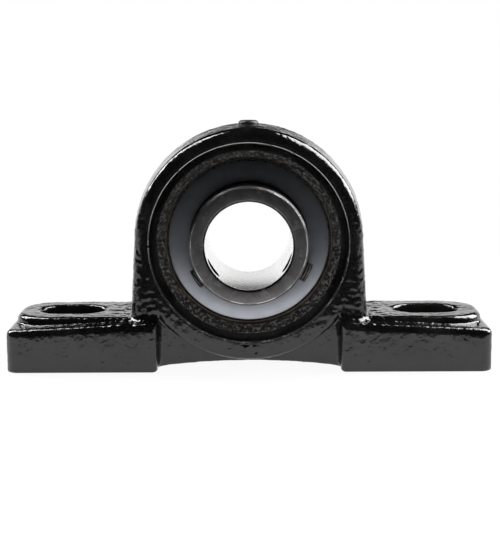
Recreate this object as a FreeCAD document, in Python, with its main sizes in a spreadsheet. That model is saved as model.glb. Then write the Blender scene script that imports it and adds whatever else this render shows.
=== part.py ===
import FreeCAD
import Part
import math
import os
import Sketcher

# Pillow block bearing for a 25 mm shaft. The base stands on z = 0, the shaft axis runs
# along Y above the origin, and the front, where the set screws are, faces -Y.

document = FreeCAD.newDocument("PillowBlock")

# Driving sizes, in millimetres and degrees
driving_sizes = {
    # Housing
    "shaft_height": 36.5,
    "base_length": 140,
    "base_width": 38,
    "base_corner": 4,
    "foot_end_height": 12.2,
    "foot_inner_height": 14.4,
    "foot_gap": 52.8,
    "foot_top_round": 2,
    "foot_inner_round": 1.6,
    "arch_radius": 33.8,
    "arch_thickness": 30,
    "arch_flare": 1.7,
    "arch_edge_round": 3.2,
    "casting_draft": 4.5,
    "arch_foot_round": 1.8,
    "web_thickness": 23,
    "web_corner_round": 2.5,
    "web_ring_round": 1.2,
    "boss_height": 15,
    "boss_width": 28,
    "boss_end_margin": 1.5,
    "boss_corner": 11,
    "boss_edge_round": 1.8,
    "bolt_offset": 0.6,
    "slot_width": 13,
    "slot_length": 19,
    "slot_edge_round": 1,
    "relief_height": 1.8,
    "relief_span": 54,
    "ridge_diameter": 57,
    "ridge_depth": 1.7,
    "ridge_round": 0.6,
    "cove_diameter": 53,
    "cove_depth": 3,
    "seat_width": 20,
    "seat_clearance": 0.1,
    "loading_clearance": 0.4,
    "grease_groove_width": 11,
    "grease_groove_depth": 0.8,
    "grease_port_diameter": 5,
    # Grease plug
    "plug_clearance": 0.1,
    "plug_head_diameter": 5.9,
    "plug_head_height": 1,
    "plug_head_round": 0.6,
    "plug_shank_length": 5,
    "plug_seat_depth": 0.3,
    "plug_seat_margin": 0.4,
    # Bearing insert
    "insert_outer_diameter": 52,
    "outer_ring_width": 17,
    "outer_shoulder_diameter": 43.2,
    "outer_face_bore": 47.2,
    "outer_edge_chamfer": 0.35,
    "lube_hole_diameter": 1.5,
    "lube_hole_offset": 4.4,
    "bore_diameter": 25,
    "inner_ring_diameter": 34,
    "inner_ring_length": 34.1,
    "inner_ring_short_side": 14.3,
    "inner_edge_chamfer": 0.6,
    "ball_diameter": 7.938,
    "ball_count": 9,
    "pitch_diameter": 38.5,
    "groove_conformity": 0.52,
    "race_clearance": 0.08,
    # Cage
    "cage_sheet": 0.7,
    "cage_width": 2.8,
    "pocket_clearance": 0.15,
    "rivet_diameter": 1.4,
    "rivet_clearance": 0.02,
    "rivet_head_diameter": 2.4,
    "rivet_head_height": 0.6,
    # Seals and flingers
    "seal_position": 5.9,
    "seal_plate_thickness": 0.5,
    "seal_groove_diameter": 48,
    "seal_fit": 0.05,
    "seal_plate_bore": 36.6,
    "lip_gap": 0.1,
    "lip_thickness": 0.15,
    "flinger_position": 7.6,
    "flinger_sheet": 0.6,
    "flinger_gap": 0.35,
    "flinger_collar": 1.6,
    "flinger_bend": 0.5,
    "flinger_fit": 0.02,
    # Set screws
    "screw_diameter": 6,
    "screw_clearance": 0.08,
    "screw_length": 5.5,
    "screw_edge_distance": 5,
    "screw_angle_left": 213.5,
    "screw_angle_right": 333.5,
    "screw_proud_left": 1.4,
    "screw_proud_right": 2,
    "screw_hex_width": 3,
    "screw_hex_depth": 2.5,
    "screw_chamfer": 0.4,
    "screw_cup_diameter": 2.8,
    "screw_cup_depth": 0.7,
}

# Sizes and places worked out from the driving sizes
worked_sizes = {
    "half_length": "Sizes.base_length / 2",
    "foot_inner": "Sizes.foot_gap / 2",
    "arch_foot": "Sizes.arch_radius + Sizes.arch_flare",
    "arch_half": "Sizes.arch_thickness / 2",
    "arch_bottom": "Sizes.foot_end_height / 2",
    "draft_inset": "arch_half * tan(Sizes.casting_draft)",
    "arch_face_foot": "arch_foot - draft_inset",
    "arch_face_radius": "Sizes.arch_radius - draft_inset",
    "web_half": "Sizes.web_thickness / 2",
    "web_behind": "web_half - Sizes.web_ring_round",
    "web_reach": "Sizes.base_width / 2 + Sizes.relief_height",
    "web_corner_x": "foot_inner - Sizes.web_corner_round",
    "web_corner_y": "web_half + Sizes.web_corner_round",
    "web_cut_rise": "Sizes.foot_inner_height + Sizes.arch_foot_round + 2 * Sizes.relief_height",
    "foot_round_x": "foot_inner + Sizes.foot_inner_round",
    "foot_round_y": "Sizes.base_width / 2 - Sizes.foot_inner_round",
    "ring_edge_x": "Sizes.arch_radius - Sizes.web_ring_round",
    "ring_edge_y": "arch_half - Sizes.web_ring_round",
    "cut_margin": "Sizes.relief_height",
    "foot_ledge": "(Sizes.base_width - Sizes.arch_thickness) / 2",
    "top_round": "min(Sizes.foot_top_round; foot_ledge / 2)",
    "arch_base_round": "min(Sizes.arch_foot_round; foot_ledge * 0.45)",
    "boss_half_width": "Sizes.boss_width / 2",
    "boss_outer": "Sizes.base_length / 2 - Sizes.boss_end_margin",
    "boss_inner": "Sizes.arch_radius - Sizes.arch_edge_round",
    "boss_start": "Sizes.foot_end_height - Sizes.foot_top_round",
    "boss_rise": "Sizes.boss_height - boss_start",
    "boss_corner_x": "Sizes.base_length / 2 - Sizes.boss_end_margin - Sizes.boss_corner",
    "boss_corner_y": "Sizes.boss_width / 2 - Sizes.boss_corner",
    "slot_radius": "Sizes.slot_width / 2",
    "bolt_place": "(half_length + Sizes.arch_radius) / 2 + Sizes.bolt_offset",
    "slot_near": "bolt_place - (Sizes.slot_length - Sizes.slot_width) / 2",
    "slot_far": "bolt_place + (Sizes.slot_length - Sizes.slot_width) / 2",
    "slot_wall": "boss_outer - slot_far - slot_radius",
    "slot_round": "min(Sizes.slot_edge_round; slot_wall * 0.4)",
    "boss_round": "min(Sizes.boss_edge_round; slot_wall * 0.4)",
    "relief_half": "Sizes.relief_span / 2",
    "relief_radius": "(Sizes.relief_span ^ 2 / 4 + Sizes.relief_height ^ 2) / (2 * Sizes.relief_height)",
    "relief_centre": "Sizes.relief_height - relief_radius",
    "ridge_radius": "Sizes.ridge_diameter / 2",
    "ridge_inner": "Sizes.arch_thickness / 2 - Sizes.ridge_depth",
    "cove_radius": "Sizes.cove_diameter / 2",
    "cove_inner": "Sizes.arch_thickness / 2 - Sizes.cove_depth",
    "cut_reach": "Sizes.arch_thickness / 2 + Sizes.ridge_depth",
    "seat_half": "Sizes.seat_width / 2",
    "sphere_radius": "Sizes.insert_outer_diameter / 2",
    "seat_radius": "Sizes.insert_outer_diameter / 2 + Sizes.seat_clearance",
    "loading_low": "Sizes.shaft_height - (Sizes.outer_ring_width + Sizes.loading_clearance) / 2",
    "loading_high": "Sizes.shaft_height + (Sizes.outer_ring_width + Sizes.loading_clearance) / 2",
    "grease_groove_half": "Sizes.grease_groove_width / 2",
    "grease_groove_inner": "seat_radius - Sizes.cove_depth",
    "grease_groove_outer": "seat_radius + Sizes.grease_groove_depth",
    "grease_port_radius": "Sizes.grease_port_diameter / 2",
    "plug_seat": "Sizes.shaft_height + Sizes.arch_radius - Sizes.plug_seat_depth",
    "plug_seat_radius": "(Sizes.plug_head_diameter + Sizes.plug_seat_margin) / 2",
    "plug_radius": "Sizes.grease_port_diameter / 2 - Sizes.plug_clearance",
    "plug_head_radius": "Sizes.plug_head_diameter / 2",
    "plug_top_radius": "plug_head_radius - Sizes.plug_head_round",
    "plug_rim": "Sizes.plug_head_height - Sizes.plug_head_round",
    "outer_half": "Sizes.outer_ring_width / 2",
    "shoulder_radius": "Sizes.outer_shoulder_diameter / 2",
    "face_bore_radius": "Sizes.outer_face_bore / 2",
    "face_chamfer_radius": "Sizes.outer_face_bore / 2 + Sizes.outer_edge_chamfer",
    "face_chamfer_place": "Sizes.outer_ring_width / 2 - Sizes.outer_edge_chamfer",
    "lube_hole_radius": "Sizes.lube_hole_diameter / 2",
    "bore_radius": "Sizes.bore_diameter / 2",
    "bore_edge_radius": "Sizes.bore_diameter / 2 + Sizes.inner_edge_chamfer",
    "inner_radius": "Sizes.inner_ring_diameter / 2",
    "inner_edge_radius": "Sizes.inner_ring_diameter / 2 - Sizes.inner_edge_chamfer",
    "inner_rear": "Sizes.inner_ring_short_side",
    "inner_rear_edge": "Sizes.inner_ring_short_side - Sizes.inner_edge_chamfer",
    "inner_front": "Sizes.inner_ring_length - Sizes.inner_ring_short_side",
    "inner_front_edge": "inner_front - Sizes.inner_edge_chamfer",
    "ball_radius": "Sizes.ball_diameter / 2",
    "pitch_radius": "Sizes.pitch_diameter / 2",
    "groove_radius": "Sizes.groove_conformity * Sizes.ball_diameter",
    "outer_groove_centre": "pitch_radius + ball_radius + Sizes.race_clearance - groove_radius",
    "inner_groove_centre": "pitch_radius - ball_radius - Sizes.race_clearance + groove_radius",
    "cage_inner": "pitch_radius - Sizes.cage_width / 2",
    "cage_outer": "pitch_radius + Sizes.cage_width / 2",
    "pocket_radius": "ball_radius + Sizes.pocket_clearance",
    "pocket_back": "ball_radius + Sizes.pocket_clearance + Sizes.cage_sheet",
    "rivet_radius": "Sizes.rivet_diameter / 2",
    "rivet_hole_radius": "Sizes.rivet_diameter / 2 + Sizes.rivet_clearance",
    "rivet_head_radius": "Sizes.rivet_head_diameter / 2",
    "rivet_angle": "180 / Sizes.ball_count",
    "rivet_top": "Sizes.cage_sheet + Sizes.rivet_head_height",
    "rivet_grip": "2 * Sizes.cage_sheet",
    "rivet_first_x": "pitch_radius * cos(90 + rivet_angle)",
    "rivet_first_y": "pitch_radius * sin(90 + rivet_angle)",
    "seal_inner": "Sizes.seal_position",
    "seal_outer": "Sizes.seal_position + Sizes.seal_plate_thickness",
    "seal_groove_radius": "Sizes.seal_groove_diameter / 2",
    "seal_groove_inner": "Sizes.seal_position - Sizes.seal_fit",
    "seal_groove_outer": "seal_outer + Sizes.seal_fit",
    "seal_plate_outer": "Sizes.seal_groove_diameter / 2 - Sizes.seal_fit",
    "seal_plate_inner": "Sizes.seal_plate_bore / 2",
    "lip_radius": "inner_radius + Sizes.lip_gap",
    "lip_near": "(Sizes.seal_position + seal_outer) / 2 - Sizes.lip_thickness / 2",
    "lip_far": "(Sizes.seal_position + seal_outer) / 2 + Sizes.lip_thickness / 2",
    "lip_neck": "(seal_plate_inner + lip_radius) / 2",
    "flinger_inner": "Sizes.flinger_position",
    "flinger_outer": "Sizes.flinger_position + Sizes.flinger_sheet",
    "flinger_bore": "inner_radius + Sizes.flinger_fit",
    "flinger_collar_radius": "inner_radius + Sizes.flinger_fit + Sizes.flinger_sheet",
    "flinger_collar_end": "flinger_outer - Sizes.flinger_collar",
    "flinger_bend_radius": "flinger_bore + Sizes.flinger_bend",
    "flinger_bend_place": "flinger_outer - Sizes.flinger_bend",
    "flinger_edge": "face_bore_radius - Sizes.flinger_gap",
    "screw_radius": "Sizes.screw_diameter / 2",
    "screw_hole_radius": "Sizes.screw_diameter / 2 + Sizes.screw_clearance",
    "screw_place": "Sizes.screw_edge_distance - inner_front",
    "screw_shoulder": "Sizes.screw_length - Sizes.screw_chamfer",
    "screw_rim_radius": "screw_radius - Sizes.screw_chamfer",
    "screw_cup_radius": "Sizes.screw_cup_diameter / 2",
    "screw_tip_left": "inner_radius + Sizes.screw_proud_left - Sizes.screw_length",
    "screw_tip_right": "inner_radius + Sizes.screw_proud_right - Sizes.screw_length",
    "hex_half_width": "Sizes.screw_hex_width / 2",
    "hex_corner": "hex_half_width / cos(30)",
    "hex_half_side": "hex_corner / 2",
}


# Sheets

def sheet_of(name, cells):
    sheet = document.addObject("Spreadsheet::Sheet", name)
    for row, alias in enumerate(cells, start=1):
        sheet.set("A%d" % row, alias)
        sheet.set("B%d" % row, str(cells[alias]))
        sheet.setAlias("B%d" % row, alias)
    document.recompute()
    return sheet


sizes_sheet = sheet_of("Sizes", driving_sizes)
worked_formulas = {alias: "=" + formula for alias, formula in worked_sizes.items()}
worked_sheet = sheet_of("Worked", worked_formulas)


# A name with a leading minus stands for the negative value, and "0" for zero
def bound(name):
    sign = "-" if name.startswith("-") else ""
    alias = name.lstrip("-")
    sheet = "Sizes" if alias in driving_sizes else "Worked"
    return sign + sheet + "." + alias


def reading(name):
    if name == "0":
        return 0.0
    sign = -1.0 if name.startswith("-") else 1.0
    alias = name.lstrip("-")
    sheet = sizes_sheet if alias in driving_sizes else worked_sheet
    return sign * float(sheet.get(alias))


def settle():
    # Works the model out and stops at the first object that failed
    document.recompute()
    for item in document.Objects:
        if "Invalid" in item.State or "Error" in item.State:
            raise RuntimeError(item.Label + " failed: " + ", ".join(item.State))


# Sketching

def new_body(label):
    body = document.addObject("PartDesign::Body", label)
    body.Label = label
    return body


def origin_feature(body, role):
    for feature in body.Origin.OriginFeatures:
        if feature.Role == role:
            return feature
    raise ValueError("no origin feature " + role)


def new_sketch(body, name, plane, offset=None):
    sketch = body.newObject("Sketcher::SketchObject", name)
    sketch.AttachmentSupport = [(origin_feature(body, plane), "")]
    sketch.MapMode = "FlatFace"
    if offset:
        sketch.setExpression("AttachmentOffset.Base.z", bound(offset))
    return sketch


def pin(sketch, geometry, point, x_name, y_name):
    # Ties one point of the sketch to its named distances from the sketch's origin
    for kind, name, axis in (("DistanceX", x_name, -2), ("DistanceY", y_name, -1)):
        if name in ("+", "-"):
            continue
        if name == "0":
            sketch.addConstraint(Sketcher.Constraint("PointOnObject", geometry, point, axis))
            continue
        place = reading(name)
        rule = Sketcher.Constraint(kind, -1, 1, geometry, point, place)
        index = sketch.addConstraint(rule)
        sketch.setExpression("Constraints[%d]" % index, bound(name))


def free_coordinate(sign, centre, other, other_centre, radius):
    # The coordinate that a corner on an arc has when only the other one is named
    reach = math.sqrt(radius ** 2 - (other - other_centre) ** 2)
    return centre + reach if sign == "+" else centre - reach


def corner_point(corner, arc):
    x_name, y_name = corner
    if x_name in ("+", "-"):
        y = reading(y_name)
        x = free_coordinate(x_name, reading(arc[0]), y, reading(arc[1]), reading(arc[2]))
    elif y_name in ("+", "-"):
        x = reading(x_name)
        y = free_coordinate(y_name, reading(arc[1]), x, reading(arc[0]), reading(arc[2]))
    else:
        x, y = reading(x_name), reading(y_name)
    return FreeCAD.Vector(x, y, 0)


def draw_outline(sketch, corners, arcs=None):
    # A closed outline: corner i joins corner i + 1 by a line, or by an arc where arcs[i]
    # names its centre, its radius and "ccw" or "cw". A coordinate "+" or "-" is left to
    # the arc, on that side of the arc's centre.
    arcs = arcs or {}
    count = len(corners)
    points = []
    for index, corner in enumerate(corners):
        arc = arcs.get(index) or arcs.get((index - 1) % count)
        points.append(corner_point(corner, arc))
    edges = []
    for index in range(count):
        start = points[index]
        end = points[(index + 1) % count]
        arc = arcs.get(index)
        if arc is None:
            edges.append((sketch.addGeometry(Part.LineSegment(start, end), False), 1, 2))
            continue
        centre = FreeCAD.Vector(reading(arc[0]), reading(arc[1]), 0)
        if arc[3] == "cw":
            start, end = end, start
        circle = Part.Circle(centre, FreeCAD.Vector(0, 0, 1), reading(arc[2]))
        first = math.atan2(start.y - centre.y, start.x - centre.x)
        last = math.atan2(end.y - centre.y, end.x - centre.x)
        if last < first:
            last += 2 * math.pi
        geometry = sketch.addGeometry(Part.ArcOfCircle(circle, first, last), False)
        edges.append((geometry, 2, 1) if arc[3] == "cw" else (geometry, 1, 2))
    for index in range(count):
        geometry, _, end = edges[index]
        following, start, _ = edges[(index + 1) % count]
        sketch.addConstraint(Sketcher.Constraint("Coincident", geometry, end, following, start))
    for index, (geometry, start, _) in enumerate(edges):
        arc = arcs.get(index)
        if arc is not None:
            pin(sketch, geometry, 3, arc[0], arc[1])
            rule = sketch.addConstraint(Sketcher.Constraint("Radius", geometry, reading(arc[2])))
            sketch.setExpression("Constraints[%d]" % rule, bound(arc[2]))
        pin(sketch, geometry, start, corners[index][0], corners[index][1])


def draw_circle(sketch, x_name, y_name, radius_name):
    centre = FreeCAD.Vector(reading(x_name), reading(y_name), 0)
    circle = Part.Circle(centre, FreeCAD.Vector(0, 0, 1), reading(radius_name))
    geometry = sketch.addGeometry(circle, False)
    pin(sketch, geometry, 3, x_name, y_name)
    rule = sketch.addConstraint(Sketcher.Constraint("Radius", geometry, reading(radius_name)))
    sketch.setExpression("Constraints[%d]" % rule, bound(radius_name))


# Features

def add_pad(body, name, sketch, length, symmetric=False):
    pad = body.newObject("PartDesign::Pad", name)
    pad.Profile = sketch
    pad.setExpression("Length", bound(length))
    pad.SideType = "Symmetric" if symmetric else "One side"
    settle()
    return pad


def add_pocket(body, name, sketch, length, along_normal=False):
    before = body.Shape.Volume
    pocket = body.newObject("PartDesign::Pocket", name)
    pocket.Profile = sketch
    pocket.setExpression("Length", bound(length))
    pocket.Reversed = along_normal
    settle()
    must_cut(body, name, before)
    return pocket


def add_through_pocket(body, name, sketch):
    before = body.Shape.Volume
    pocket = body.newObject("PartDesign::Pocket", name)
    pocket.Profile = sketch
    pocket.Type = "ThroughAll"
    pocket.SideType = "Symmetric"
    settle()
    must_cut(body, name, before)
    return pocket


def must_cut(body, name, before):
    # A cut that points away from the solid leaves its volume exactly as it was
    if abs(body.Shape.Volume - before) < 1e-6:
        raise RuntimeError(name + " cuts nothing")


def add_revolution(body, name, sketch, axis="V_Axis"):
    turned = body.newObject("PartDesign::Revolution", name)
    turned.Profile = sketch
    turned.ReferenceAxis = (sketch, [axis])
    turned.Angle = 360
    settle()
    return turned


def add_groove(body, name, sketch, axis="V_Axis"):
    before = body.Shape.Volume
    groove = body.newObject("PartDesign::Groove", name)
    groove.Profile = sketch
    groove.ReferenceAxis = (sketch, [axis])
    groove.Angle = 360
    settle()
    must_cut(body, name, before)
    return groove


def add_mirror(body, name, features, plane):
    mirrored = body.newObject("PartDesign::Mirrored", name)
    mirrored.Originals = features
    mirrored.MirrorPlane = (origin_feature(body, plane), [""])
    body.Tip = mirrored
    settle()
    return mirrored


def add_fillet(body, name, radius, wanted):
    # Rounds every edge of the body that the test picks out
    base = body.Tip
    names = []
    for index, edge in enumerate(base.Shape.Edges, start=1):
        if wanted(edge):
            names.append("Edge%d" % index)
    if not names:
        raise RuntimeError(name + " finds no edge")
    fillet = body.newObject("PartDesign::Fillet", name)
    fillet.Base = (base, names)
    fillet.setExpression("Radius", bound(radius))
    settle()
    return fillet


def combine(body, name, kind, other):
    combined = body.newObject("PartDesign::Boolean", name)
    combined.Type = kind
    combined.setObjects([other])
    settle()
    return combined


# Tests that pick edges by their place

def near(value, target):
    return abs(value - target) < 0.01


def box_of(edge):
    return edge.BoundBox


def lies_at_height(edge, height):
    box = box_of(edge)
    return near(box.ZMin, height) and near(box.ZMax, height)


def is_upright(edge):
    box = box_of(edge)
    return box.XLength < 0.01 and box.YLength < 0.01 and box.ZLength > 1


def lies_in_depth(edge, depth):
    box = box_of(edge)
    return near(box.YMin, depth) and near(box.YMax, depth)


# Housing

def add_feet(body):
    # One side outline runs through both feet, and each foot gets thinner towards its end
    sketch = new_sketch(body, "foot_outline", "XZ_Plane")
    draw_outline(sketch, [
        ("-half_length", "0"),
        ("half_length", "0"),
        ("half_length", "foot_end_height"),
        ("foot_inner", "foot_inner_height"),
        ("-foot_inner", "foot_inner_height"),
        ("-half_length", "foot_end_height"),
    ])
    add_pad(body, "feet", sketch, "base_width", symmetric=True)
    add_fillet(body, "foot_corners", "base_corner", is_upright)
    add_fillet(body, "foot_top_edges", "top_round", is_foot_rim)


def is_foot_rim(edge):
    # The rim of the top face, without the two creases where its slope ends
    box = box_of(edge)
    if box.ZMin < reading("foot_end_height") - 0.01:
        return False
    return not (near(abs(box.XMin), reading("foot_inner")) and box.XLength < 0.01)


def make_bosses():
    # Each boss runs from round a bolt slot to well inside the arch
    body = new_body("bosses")
    body.AllowCompound = True
    sketch = new_sketch(body, "boss_outline", "XY_Plane", "boss_start")
    draw_outline(sketch, [
        ("boss_inner", "-boss_half_width"),
        ("boss_corner_x", "-"),
        ("+", "-boss_corner_y"),
        ("+", "boss_corner_y"),
        ("boss_corner_x", "+"),
        ("boss_inner", "boss_half_width"),
    ], {
        1: ("boss_corner_x", "-boss_corner_y", "boss_corner", "ccw"),
        3: ("boss_corner_x", "boss_corner_y", "boss_corner", "ccw"),
    })
    add_pad(body, "boss", sketch, "boss_rise")
    rounded = add_fillet(body, "boss_top_edges", "boss_round", is_boss_rim)
    add_mirror(body, "boss_pair", [body.getObject("boss"), rounded], "YZ_Plane")
    return body


def is_boss_rim(edge):
    box = box_of(edge)
    at_end = box.XLength < 0.01 and near(abs(box.XMin), reading("boss_inner"))
    return lies_at_height(edge, reading("boss_height")) and not at_end


def arch_outline(body, name, foot, radius, offset=None):
    sketch = new_sketch(body, name, "XZ_Plane", offset)
    draw_outline(sketch, [
        ("-" + foot, "arch_bottom"),
        (foot, "arch_bottom"),
        ("+", "shaft_height"),
        ("-", "shaft_height"),
    ], {
        2: ("0", "shaft_height", radius, "ccw"),
    })
    return sketch


def add_arch(body):
    # The arch over the seat, with draft from its mid-plane to both faces
    middle = arch_outline(body, "arch_middle", "arch_foot", "arch_radius")
    face = arch_outline(body, "arch_face", "arch_face_foot", "arch_face_radius", "arch_half")
    half = body.newObject("PartDesign::AdditiveLoft", "arch_front_half")
    half.Profile = middle
    half.Sections = [face]
    half.Ruled = True
    settle()
    add_mirror(body, "arch", [half], "XZ_Plane")
    add_fillet(body, "arch_edges", "arch_edge_round", is_arch_edge)
    add_fillet(body, "arch_foot", "arch_base_round", is_arch_foot)


def is_arch_edge(edge):
    box = box_of(edge)
    return lies_in_depth(edge, reading("arch_half") * math.copysign(1, box.YMin)) and box.ZLength > 1


def is_arch_foot(edge):
    # Where the arch's sides and faces stand on the feet, clear of the bosses
    box = box_of(edge)
    if box.ZMax > reading("foot_inner_height") + 0.01 or box.ZMin < reading("foot_end_height"):
        return False
    if box.XMin * box.XMax > 0 and abs(box.YMin) < reading("boss_half_width") + 0.01:
        return False
    inside = reading("arch_half") + 0.01
    return abs(edge.CenterOfMass.x) < reading("arch_foot") and max(-box.YMin, box.YMax) < inside


def make_web_cutter():
    # Between the feet the casting is cut back to a web, and the ring stands proud of it
    body = new_body("web_cutter")
    body.AllowCompound = True
    sketch = new_sketch(body, "web_outline", "XY_Plane", "-cut_margin")
    draw_outline(sketch, [
        ("-foot_round_x", "-web_reach"),
        ("-foot_round_x", "-"),
        ("+", "-foot_round_y"),
        ("-", "-web_corner_y"),
        ("-web_corner_x", "+"),
        ("web_corner_x", "+"),
        ("+", "-web_corner_y"),
        ("-", "-foot_round_y"),
        ("foot_round_x", "-"),
        ("foot_round_x", "-web_reach"),
    ], {
        1: ("-foot_round_x", "-foot_round_y", "foot_inner_round", "ccw"),
        3: ("-web_corner_x", "-web_corner_y", "web_corner_round", "cw"),
        5: ("web_corner_x", "-web_corner_y", "web_corner_round", "cw"),
        7: ("foot_round_x", "-foot_round_y", "foot_inner_round", "ccw"),
    })
    block = add_pad(body, "web_block", sketch, "web_cut_rise")
    sketch = new_sketch(body, "ring_edge_outline", "XY_Plane", "shaft_height")
    draw_outline(sketch, [
        ("0", "-arch_half"),
        ("ring_edge_x", "-"),
        ("+", "-ring_edge_y"),
        ("arch_radius", "-web_behind"),
        ("0", "-web_behind"),
    ], {
        1: ("ring_edge_x", "-ring_edge_y", "web_ring_round", "ccw"),
    })
    ring = add_groove(body, "ring_edge", sketch)
    add_mirror(body, "web_pair", [block, ring], "XZ_Plane")
    return body


def add_relief(body):
    # The underside is hollowed a little, so that the block stands on its feet
    sketch = new_sketch(body, "relief_outline", "XZ_Plane")
    draw_outline(sketch, [
        ("-", "0"),
        ("+", "0"),
    ], {
        1: ("0", "relief_centre", "relief_radius", "ccw"),
    })
    add_through_pocket(body, "relief", sketch)


def add_bolt_slots(body):
    sketch = new_sketch(body, "slot_outline", "XY_Plane")
    draw_outline(sketch, [
        ("slot_near", "-"),
        ("slot_far", "-"),
        ("slot_far", "+"),
        ("slot_near", "+"),
    ], {
        1: ("slot_far", "0", "slot_radius", "ccw"),
        3: ("slot_near", "0", "slot_radius", "ccw"),
    })
    slot = add_pocket(body, "slot_right", sketch, "shaft_height", along_normal=True)
    add_mirror(body, "slot_pair", [slot], "YZ_Plane")
    add_fillet(body, "slot_edges", "slot_round", is_slot_rim)


def is_slot_rim(edge):
    box = box_of(edge)
    furthest = max(-box.XMin, box.XMax) - 0.01
    widest = max(-box.YMin, box.YMax) - 0.01
    inside = furthest < reading("slot_far") + reading("slot_radius")
    return lies_at_height(edge, reading("boss_height")) and inside and widest < reading("slot_radius")


def add_seat(body):
    # Turned from both sides: a step, a rough cast cone and the spherical seat
    sketch = new_sketch(body, "seat_outline", "XY_Plane", "shaft_height")
    draw_outline(sketch, [
        ("0", "-cut_reach"),
        ("ridge_radius", "-cut_reach"),
        ("ridge_radius", "-ridge_inner"),
        ("cove_radius", "-cove_inner"),
        ("+", "-seat_half"),
        ("+", "seat_half"),
        ("cove_radius", "cove_inner"),
        ("ridge_radius", "ridge_inner"),
        ("ridge_radius", "cut_reach"),
        ("0", "cut_reach"),
    ], {
        4: ("0", "0", "seat_radius", "ccw"),
    })
    add_groove(body, "seat", sketch)
    add_fillet(body, "ridge_edges", "ridge_round", is_ridge)

    # Grease groove round the seat, and the port from the top of the arch down to it
    sketch = new_sketch(body, "grease_groove_outline", "XY_Plane", "shaft_height")
    draw_outline(sketch, [
        ("grease_groove_inner", "-grease_groove_half"),
        ("grease_groove_outer", "-grease_groove_half"),
        ("grease_groove_outer", "grease_groove_half"),
        ("grease_groove_inner", "grease_groove_half"),
    ])
    add_groove(body, "grease_groove", sketch)
    sketch = new_sketch(body, "grease_port_outline", "XY_Plane", "shaft_height")
    draw_circle(sketch, "0", "0", "grease_port_radius")
    add_pocket(body, "grease_port", sketch, "base_length", along_normal=True)
    sketch = new_sketch(body, "plug_seat_outline", "XY_Plane", "plug_seat")
    draw_circle(sketch, "0", "0", "plug_seat_radius")
    add_pocket(body, "plug_seat", sketch, "base_length", along_normal=True)

    # Loading slots, open to the rear, through which the insert goes in sideways
    sketch = new_sketch(body, "loading_outline", "XZ_Plane")
    draw_outline(sketch, [
        ("-", "loading_low"),
        ("+", "loading_low"),
        ("+", "loading_high"),
        ("-", "loading_high"),
    ], {
        1: ("0", "shaft_height", "seat_radius", "ccw"),
        3: ("0", "shaft_height", "seat_radius", "ccw"),
    })
    add_pocket(body, "loading_slots", sketch, "base_width")


def is_ridge(edge):
    box = box_of(edge)
    face = reading("arch_half") * math.copysign(1, box.YMin)
    return lies_in_depth(edge, face) and near(box.XLength, reading("ridge_diameter"))


def make_housing():
    body = new_body("housing")
    add_feet(body)
    add_arch(body)
    combine(body, "with_bosses", "Fuse", make_bosses())
    combine(body, "web", "Cut", make_web_cutter())
    add_relief(body)
    add_bolt_slots(body)
    add_seat(body)
    return body


# Grease plug, screwed into the port from above

def make_grease_plug():
    body = new_body("grease_plug")
    sketch = new_sketch(body, "plug_outline", "XZ_Plane")
    draw_outline(sketch, [
        ("0", "-plug_shank_length"),
        ("plug_radius", "-plug_shank_length"),
        ("plug_radius", "0"),
        ("plug_head_radius", "0"),
        ("plug_head_radius", "plug_rim"),
        ("plug_top_radius", "plug_head_height"),
        ("0", "plug_head_height"),
    ])
    add_revolution(body, "plug", sketch)
    place(body, "0", "plug_seat")
    return body


def place(item, x_name, z_name, turn="rotation(vector(0; 1; 0); 0)"):
    # Every piece is placed in the plane y = 0, at a named distance along X and Z
    x_text = "0" if x_name == "0" else bound(x_name)
    form = "placement(vector(%s; 0; %s); %s)"
    item.setExpression("Placement", form % (x_text, bound(z_name), turn))
    settle()


# Rings of the insert. Their outlines have the radius as x and the place along the shaft as y.

def make_turned_piece(label, corners, arcs=None):
    body = new_body(label)
    sketch = new_sketch(body, label + "_outline", "XY_Plane")
    draw_outline(sketch, corners, arcs)
    add_revolution(body, label + "_turned", sketch)
    place(body, "0", "shaft_height")
    return body


def cut_raceway(body, centre):
    sketch = new_sketch(body, body.Label + "_raceway", "XY_Plane")
    draw_circle(sketch, centre, "0", "groove_radius")
    add_groove(body, body.Label + "_groove", sketch)


def make_outer_ring():
    body = make_turned_piece("outer_ring", [
        ("shoulder_radius", "-seal_groove_inner"),
        ("seal_groove_radius", "-seal_groove_inner"),
        ("seal_groove_radius", "-seal_groove_outer"),
        ("face_bore_radius", "-seal_groove_outer"),
        ("face_bore_radius", "-face_chamfer_place"),
        ("face_chamfer_radius", "-outer_half"),
        ("+", "-outer_half"),
        ("+", "outer_half"),
        ("face_chamfer_radius", "outer_half"),
        ("face_bore_radius", "face_chamfer_place"),
        ("face_bore_radius", "seal_groove_outer"),
        ("seal_groove_radius", "seal_groove_outer"),
        ("seal_groove_radius", "seal_groove_inner"),
        ("shoulder_radius", "seal_groove_inner"),
    ], {
        6: ("0", "0", "sphere_radius", "ccw"),
    })
    cut_raceway(body, "outer_groove_centre")

    # Two lube holes beside the raceway, one at the top and one at the bottom
    sketch = new_sketch(body, "lube_hole_outline", "XY_Plane")
    draw_circle(sketch, "0", "lube_hole_offset", "lube_hole_radius")
    add_through_pocket(body, "lube_holes", sketch)
    return body


def make_inner_ring():
    body = make_turned_piece("inner_ring", [
        ("bore_radius", "-inner_front_edge"),
        ("bore_edge_radius", "-inner_front"),
        ("inner_edge_radius", "-inner_front"),
        ("inner_radius", "-inner_front_edge"),
        ("inner_radius", "inner_rear_edge"),
        ("inner_edge_radius", "inner_rear"),
        ("bore_edge_radius", "inner_rear"),
        ("bore_radius", "inner_rear_edge"),
    ])
    cut_raceway(body, "inner_groove_centre")
    for side in ("left", "right"):
        cut_screw_hole(body, side)
    return body


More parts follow.
